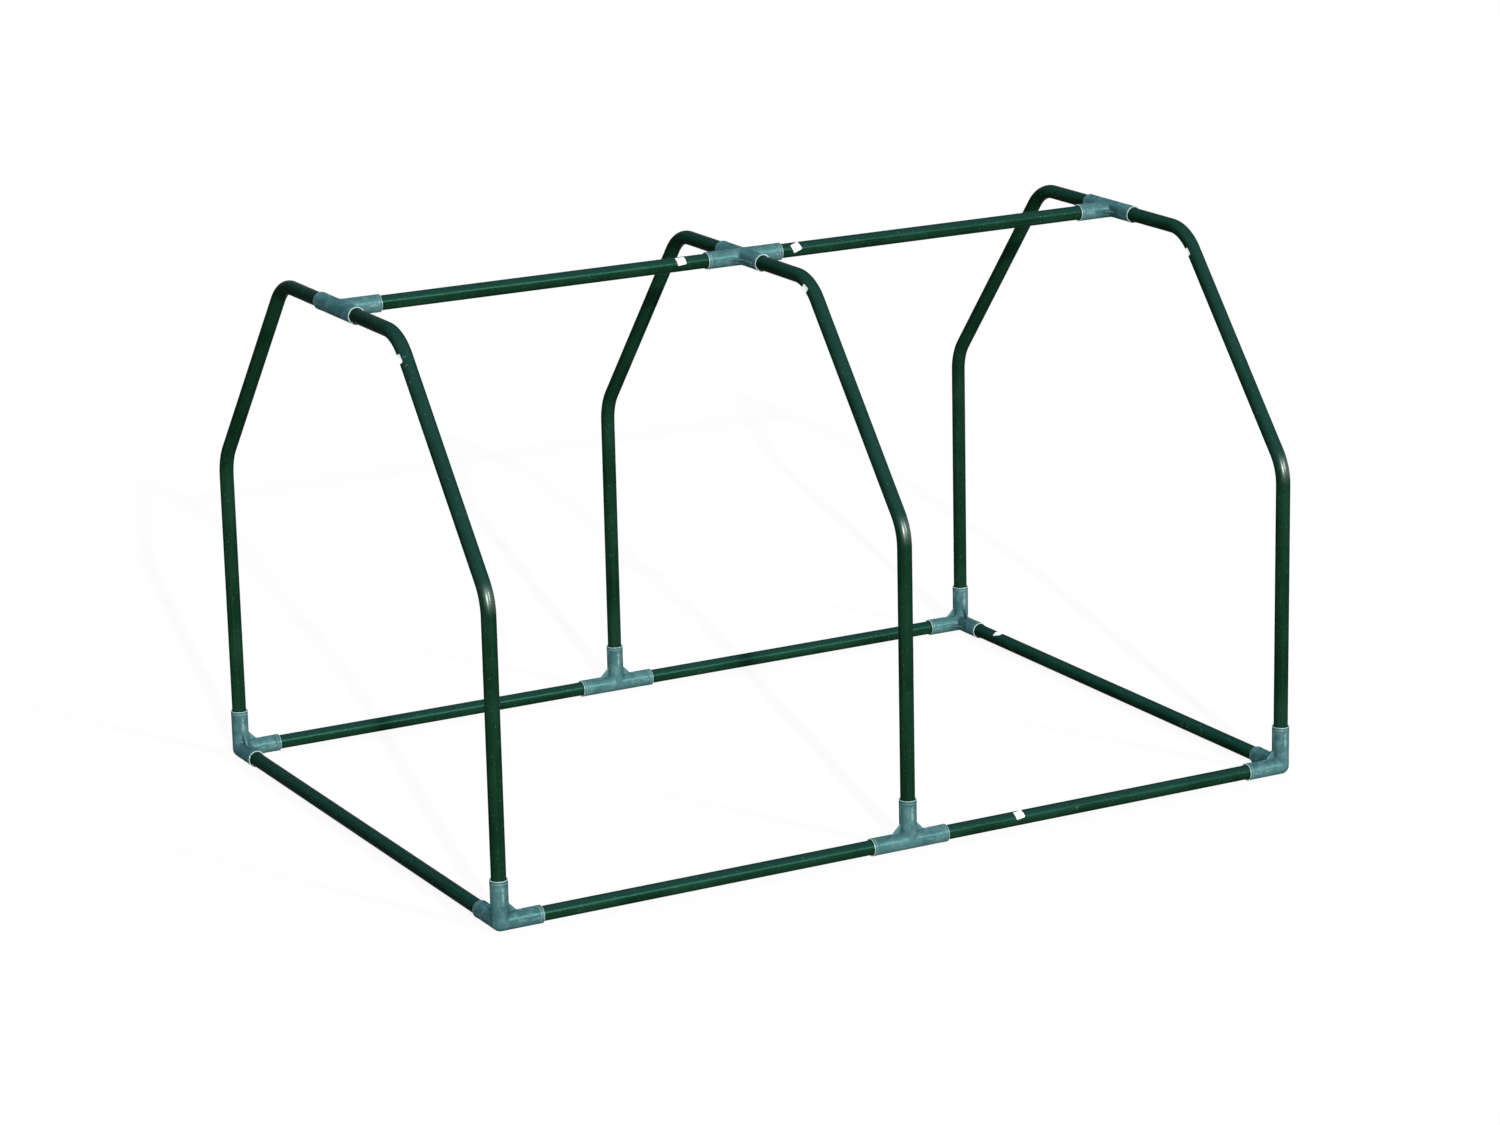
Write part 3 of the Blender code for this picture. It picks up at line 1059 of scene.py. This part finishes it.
@dataclass
class Label:
    """Small paper label stuck round a tube, with a corner or an edge coming off."""

    name: str
    tube: Tube
    distance: float
    angle: float
    turn: float
    width: float = 0.0110
    height: float = 0.0100
    corner: float = 0.0012
    thickness: float = 0.00012
    gap: float = 0.00003
    # Height of the loose corner, and where on the way to it, up to 2, the sheet comes off
    peel: float = 0.0011
    peel_from: float = 0.7
    # Distance from the middle at which the sheet leaves the tube, the angle in degrees at
    # which it stands off, and the length over which it comes to that angle
    free: float = 1.0
    lift: float = 25.0
    easing: float = 0.0012
    cells: int = 12
    # Power by which dirt gathers towards the edge
    rim_power: int = 4

    def _outline(self, across: float, up: float) -> np.ndarray:
        """Pull a point of the square sheet in, so that its corners are rounded.

        Args:
            across: Place across the sheet, from -1 to 1.
            up: Place up the sheet, from -1 to 1.

        Returns:
            The point, in metres from the middle.
        """
        half = np.array((self.width, self.height)) / 2
        point = half * (across, up)
        over = np.maximum(np.abs(point) - (half - self.corner), 0.0)
        length = math.hypot(*over)
        if length > self.corner:
            point -= np.copysign(over * (1 - self.corner / length), point)
        return point

    def _point(self, across: float, up: float, level: float) -> Vector:
        """Point of the sheet: on the tube, or past it where the sheet has come off.

        Args:
            across: Place across the sheet, from -1 to 1.
            up: Place up the sheet, from -1 to 1.
            level: Height over the tube.

        Returns:
            The point.
        """
        x, y = self._outline(across, up)
        turn = math.radians(self.turn)
        along = x * math.cos(turn) - y * math.sin(turn)
        about = x * math.sin(turn) + y * math.cos(turn)
        station = self.tube.line.at(self.distance + along)
        curl = max(across + up - self.peel_from, 0.0) / (2 - self.peel_from)
        loose = max(about - self.free, 0.0)
        lift = math.radians(self.lift) * min(loose / self.easing, 1.0)
        angle = math.radians(self.angle) + (about - loose) / self.tube.radius
        flat = self.tube.flattening * station.bend * math.cos(angle) ** 2
        outward = (self.tube.radius * (1 - flat) + (level + self.peel * curl ** 2)
                   + loose * math.sin(lift))
        ahead = station.around(angle + math.pi / 2, loose * math.cos(lift)) - station.centre
        return station.around(angle, outward) + ahead

    def mesh(self) -> Mesh:
        """Build the label's mesh.

        Returns:
            The mesh, wrapped on its tube.
        """
        bm = bmesh.new()
        ticks = [2 * step / self.cells - 1 for step in range(self.cells + 1)]
        layers = [[[bm.verts.new(self._point(across, up, level)) for across in ticks]
                   for up in ticks] for level in (self.gap, self.gap + self.thickness)]
        rim = [max(abs(across), abs(up)) ** self.rim_power for up in ticks for across in ticks]
        for rows in layers:
            for low, high in zip(rows, rows[1:]):
                for step in range(self.cells):
                    bm.faces.new((low[step], low[step + 1], high[step + 1], high[step]))
        close_ring(bm, *[self._border(rows) for rows in layers])
        mesh = finished_mesh(bm, self.name)
        write_values(mesh, "rim", np.array(rim * len(layers)))
        return mesh

    @staticmethod
    def _border(rows: list[Ring]) -> Ring:
        """Vertices round the edge of a grid, in order."""
        left, right = [[row[side] for row in rows[1:-1]] for side in (0, -1)]
        return rows[0] + right + rows[-1][::-1] + left[::-1]

    def build(self, finishes: Finishes) -> None:
        """Add the label to the scene."""
        add_piece(self.name, self.mesh(), [finishes.paper], body_of(self.tube.node))


@dataclass
class GreenhouseFrame:
    """The whole frame: hoops, base, ridge and the mouldings that they push into."""

    hoop_x: float = 0.48519215
    side_y: float = 0.34519215
    base_z: float = 0.00980785
    ridge_z: float = 0.59019215
    shoulder_z: float = 0.354
    flat_half_width: float = 0.150
    bend_radius: float = 0.055
    tube_start: float = 0.0123
    grain_step: float = 1.37
    tubes: dict[str, Tube] = field(default_factory=dict)

    def _tube(self, node: str, corners: Sequence[tuple[float, float, float]],
              side: Vector | None = None) -> None:
        """Lay one tube.

        Args:
            node: CAD node that it stands in for.
            corners: Ends of its centre line and where its straight stretches cross.
            side: Direction square to its bends, or None for a straight tube.
        """
        points = [Vector(corner) for corner in corners]
        if side is None:
            side = Vector((0, 0, 1)).cross((points[1] - points[0]).normalized())
        line = CentreLine(points, side, self.bend_radius)
        self.tubes[node] = Tube(node, line, self.grain_step * len(self.tubes))

    def lay_hoops(self) -> None:
        """Lay both half tubes of each hoop."""
        places = {"left": -self.hoop_x, "middle": 0.0, "right": self.hoop_x}
        for place, x in places.items():
            for face, sign in (("front", -1), ("back", 1)):
                self._tube(f"{place}_{face}_hoop_tube", [
                    (x, sign * self.side_y, self.base_z + self.tube_start),
                    (x, sign * self.side_y, self.shoulder_z),
                    (x, sign * self.flat_half_width, self.ridge_z),
                    (x, sign * self.tube_start, self.ridge_z),
                ], Vector((sign, 0, 0)))

    def lay_straights(self) -> None:
        """Lay the ridge, side and end tubes."""
        near, far = self.tube_start, self.hoop_x - self.tube_start
        for end, sign in (("left", -1), ("right", 1)):
            self._tube(f"{end}_ridge_tube",
                       [(sign * near, 0, self.ridge_z), (sign * far, 0, self.ridge_z)])
            self._tube(f"{end}_end_base_tube",
                       [(sign * self.hoop_x, near - self.side_y, self.base_z),
                        (sign * self.hoop_x, self.side_y - near, self.base_z)])
            for face, y in (("front", -self.side_y), ("back", self.side_y)):
                self._tube(f"{face}_{end}_base_tube",
                           [(sign * near, y, self.base_z), (sign * far, y, self.base_z)])

    def mouldings(self) -> list[Moulding]:
        """Place the mouldings.

        Returns:
            The nine mouldings, each with the ways of its arms.
        """
        made = []
        ends = (("left", -self.hoop_x, Way.RIGHT), ("right", self.hoop_x, Way.LEFT))
        faces = (("front", -self.side_y, Way.BACK), ("back", self.side_y, Way.FRONT))
        for end, x, inward in ends:
            for face, y, across in faces:
                made.append(Moulding(f"{face}_{end}_corner", Vector((x, y, self.base_z)),
                                     (inward, across, Way.UP)))
            made.append(Moulding(f"{end}_ridge_tee", Vector((x, 0, self.ridge_z)),
                                 (Way.FRONT, Way.BACK, inward)))
        for face, y, _ in faces:
            made.append(Moulding(f"{face}_middle_tee", Vector((0, y, self.base_z)),
                                 (Way.RIGHT, Way.LEFT, Way.UP)))
        made.append(Moulding("ridge_cross", Vector((0, 0, self.ridge_z)),
                             (Way.RIGHT, Way.LEFT, Way.FRONT, Way.BACK)))
        return made

    def labels(self) -> list[Label]:
        """Place the labels, by distance along their tube, angle round it and turn.

        Returns:
            The seven labels. Those on the hoops have one edge off the tube.
        """
        tubes = self.tubes
        return [
            Label("label_ridge_left", tubes["left_ridge_tube"], 0.0677, 50.0, 5.0),
            Label("label_ridge_right", tubes["right_ridge_tube"], 0.0520, -60.0, 20.0),
            Label("label_base_front", tubes["front_right_base_tube"], 0.1247, -42.0, 9.0),
            Label("label_base_end", tubes["right_end_base_tube"], 0.5860, 8.0, 25.0),
            Label("label_hoop_left", tubes["left_front_hoop_tube"], 0.6069, 78.1, 4.0,
                  width=0.0105, height=0.0046, peel=0.0, free=-0.00035, lift=24.0),
            Label("label_hoop_middle", tubes["middle_front_hoop_tube"], 0.6275, 87.2, 8.0,
                  width=0.0095, height=0.0060, peel=0.0, free=0.00007, lift=30.0),
            Label("label_hoop_right", tubes["right_front_hoop_tube"], 0.6082, 91.0, 4.0,
                  width=0.0095, height=0.0041, peel=0.0, free=-0.00037, lift=30.0),
        ]

    def scuffs(self) -> tuple[Colour, ...]:
        """Find the scuffed places, by tube, distance along it and angle round it.

        Returns:
            Their middles, in the tubes' grain.
        """
        places = (
            ("left_front_hoop_tube", 0.606, 41.0), ("left_front_hoop_tube", 0.597, 47.0),
            ("left_front_hoop_tube", 0.578, 54.0), ("right_end_base_tube", 0.172, 84.0),
            ("right_end_base_tube", 0.160, 84.0), ("right_end_base_tube", 0.134, 84.0),
            ("front_right_base_tube", 0.196, -82.0),
        )
        found = []
        for node, distance, degrees in places:
            tube, angle = self.tubes[node], math.radians(degrees)
            found.append((tube.radius * math.sin(angle), tube.radius * math.cos(angle),
                          tube.offset + distance))
        return tuple(found)

    def build(self, finishes: Finishes) -> None:
        """Add every piece to the scene."""
        for piece in [*self.tubes.values(), *self.mouldings(), *self.labels()]:
            piece.build(finishes)


@dataclass(frozen=True)
class Lamp:
    """A distant lamp, by the direction that it shines from and its width, in degrees."""

    name: str
    azimuth: float
    elevation: float
    strength: float
    angle: float
    colour: Colour = (1.0, 0.98, 0.94)

    def build(self) -> None:
        """Hang the lamp."""
        lamp = bpy.data.lights.new(self.name, "SUN")
        lamp.energy = self.strength
        lamp.color = self.colour
        lamp.angle = math.radians(self.angle)
        hung = linked(self.name, lamp)
        hung.rotation_mode = "QUATERNION"
        hung.rotation_quaternion = compass(self.azimuth, self.elevation).to_track_quat("Z", "Y")


@dataclass
class Studio:
    """Pale floor, white surround and three lamps.

    What is seen, mirrored or not, is white, while the light itself is dim, so that the
    frame keeps its contrast and the floor its shadow.
    """

    floor_size: float = 60.0
    floor_cells: int = 8
    white: Colour = (1.0, 1.0, 1.0)
    sky: Colour = (0.42, 0.64, 1.0)
    sky_strength: float = 0.13
    floor_glow: float = 0.91
    floor_colour: Colour = (0.17, 0.165, 0.15)
    floor_shade: Colour = (0.155, 0.150, 0.135)
    lamps: tuple[Lamp, ...] = (
        Lamp("key", azimuth=-14.4, elevation=21.0, strength=2.00, angle=1.2),
        Lamp("fill", azimuth=24.1, elevation=24.0, strength=1.10, angle=4.0),
        Lamp("back", azimuth=172.0, elevation=34.0, strength=0.80, angle=50.0,
             colour=(0.84, 0.93, 1.0)),
    )

    @staticmethod
    def _seen(board: Board) -> Wire:
        """Tell the rays that show the surround: seen, mirrored or through glass.

        Args:
            board: Board of the world or of the floor.

        Returns:
            One for such a ray, and zero for others.
        """
        path = board.node("ShaderNodeLightPath")
        camera, glossy, through = [Wire(board, path.outputs[f"Is {kind} Ray"])
                                   for kind in ("Camera", "Glossy", "Transmission")]
        return camera.maximum(glossy).maximum(through)

    def build_world(self) -> None:
        """Light the scene softly from all round, before a white surround."""
        world = bpy.data.worlds.new("studio")
        bpy.context.scene.world = world
        board = Board.of(world)
        soft, white = [board.wire("ShaderNodeBackground", 0, {
            "Color": (*colour, 1.0), "Strength": strength})
            for colour, strength in ((self.sky, self.sky_strength), (self.white, 1.0))]
        board.output(board.blended(self._seen(board), soft, white), "ShaderNodeOutputWorld")

    def build_floor(self) -> None:
        """Lay a pale floor that keeps the frame's shadow."""
        material, board = new_board("studio_floor")
        grain = board.noise(board.place(), 9.0, 3.0)
        colour = board.tint(grain * 0.5, self.floor_colour, self.floor_shade)
        matt = board.wire("ShaderNodeBsdfDiffuse", 0, {"Color": colour})
        glow = board.wire("ShaderNodeEmission", 0, {
            "Color": (*self.white, 1.0), "Strength": self.floor_glow})
        both = board.wire("ShaderNodeAddShader", 0, {0: matt, 1: glow})
        board.output(board.blended(self._seen(board), matt, both))
        bm = bmesh.new()
        bmesh.ops.create_grid(bm, x_segments=self.floor_cells, y_segments=self.floor_cells,
                              size=self.floor_size / 2)
        mesh = bpy.data.meshes.new("floor")
        bm.to_mesh(mesh)
        bm.free()
        mesh.materials.append(material)
        linked("floor", mesh)

    def build(self) -> None:
        """Set up the whole studio."""
        self.build_world()
        self.build_floor()
        for lamp in self.lamps:
            lamp.build()
        bpy.context.scene.view_settings.view_transform = "Standard"


@dataclass
class PhotoCamera:
    """Camera at the photograph's place, solved from the frame's straight stretches."""

    place: tuple[float, float, float] = (-2.3139, -4.2879, 1.5733)
    azimuth: float = -28.3622
    elevation: float = 15.3122
    roll: float = -1.2562
    lens: float = 107.776
    sensor: float = 36.0
    clip: tuple[float, float] = (0.05, 200.0)

    def build(self) -> None:
        """Add the camera and make it the scene's own."""
        azimuth, roll = math.radians(self.azimuth), math.radians(self.roll)
        back = compass(self.azimuth, self.elevation)
        level = Vector((math.cos(azimuth), math.sin(azimuth), 0))
        upright = back.cross(level)
        right = level * math.cos(roll) + upright * math.sin(roll)
        top = upright * math.cos(roll) - level * math.sin(roll)
        lens = bpy.data.cameras.new("photo_camera")
        lens.lens = self.lens
        lens.sensor_width = self.sensor
        lens.clip_start, lens.clip_end = self.clip
        camera = linked("photo_camera", lens)
        camera.matrix_world = Matrix.Translation(self.place) @ Matrix(
            (right, top, back)).transposed().to_4x4()
        bpy.context.scene.camera = camera


def main() -> None:
    """Build the scene."""
    logging.basicConfig(level=logging.INFO, format="%(name)s: %(message)s")
    greenhouse = GreenhouseFrame()
    greenhouse.lay_hoops()
    greenhouse.lay_straights()
    enamel = TubeEnamel(scuffs=greenhouse.scuffs())
    finishes = Finishes(enamel.material(), BareSteel().material(),
                        ConnectorPlastic().material(), LabelPaper().material())
    greenhouse.build(finishes)
    Studio().build()
    PhotoCamera().build()


if __name__ == "__main__":
    main()
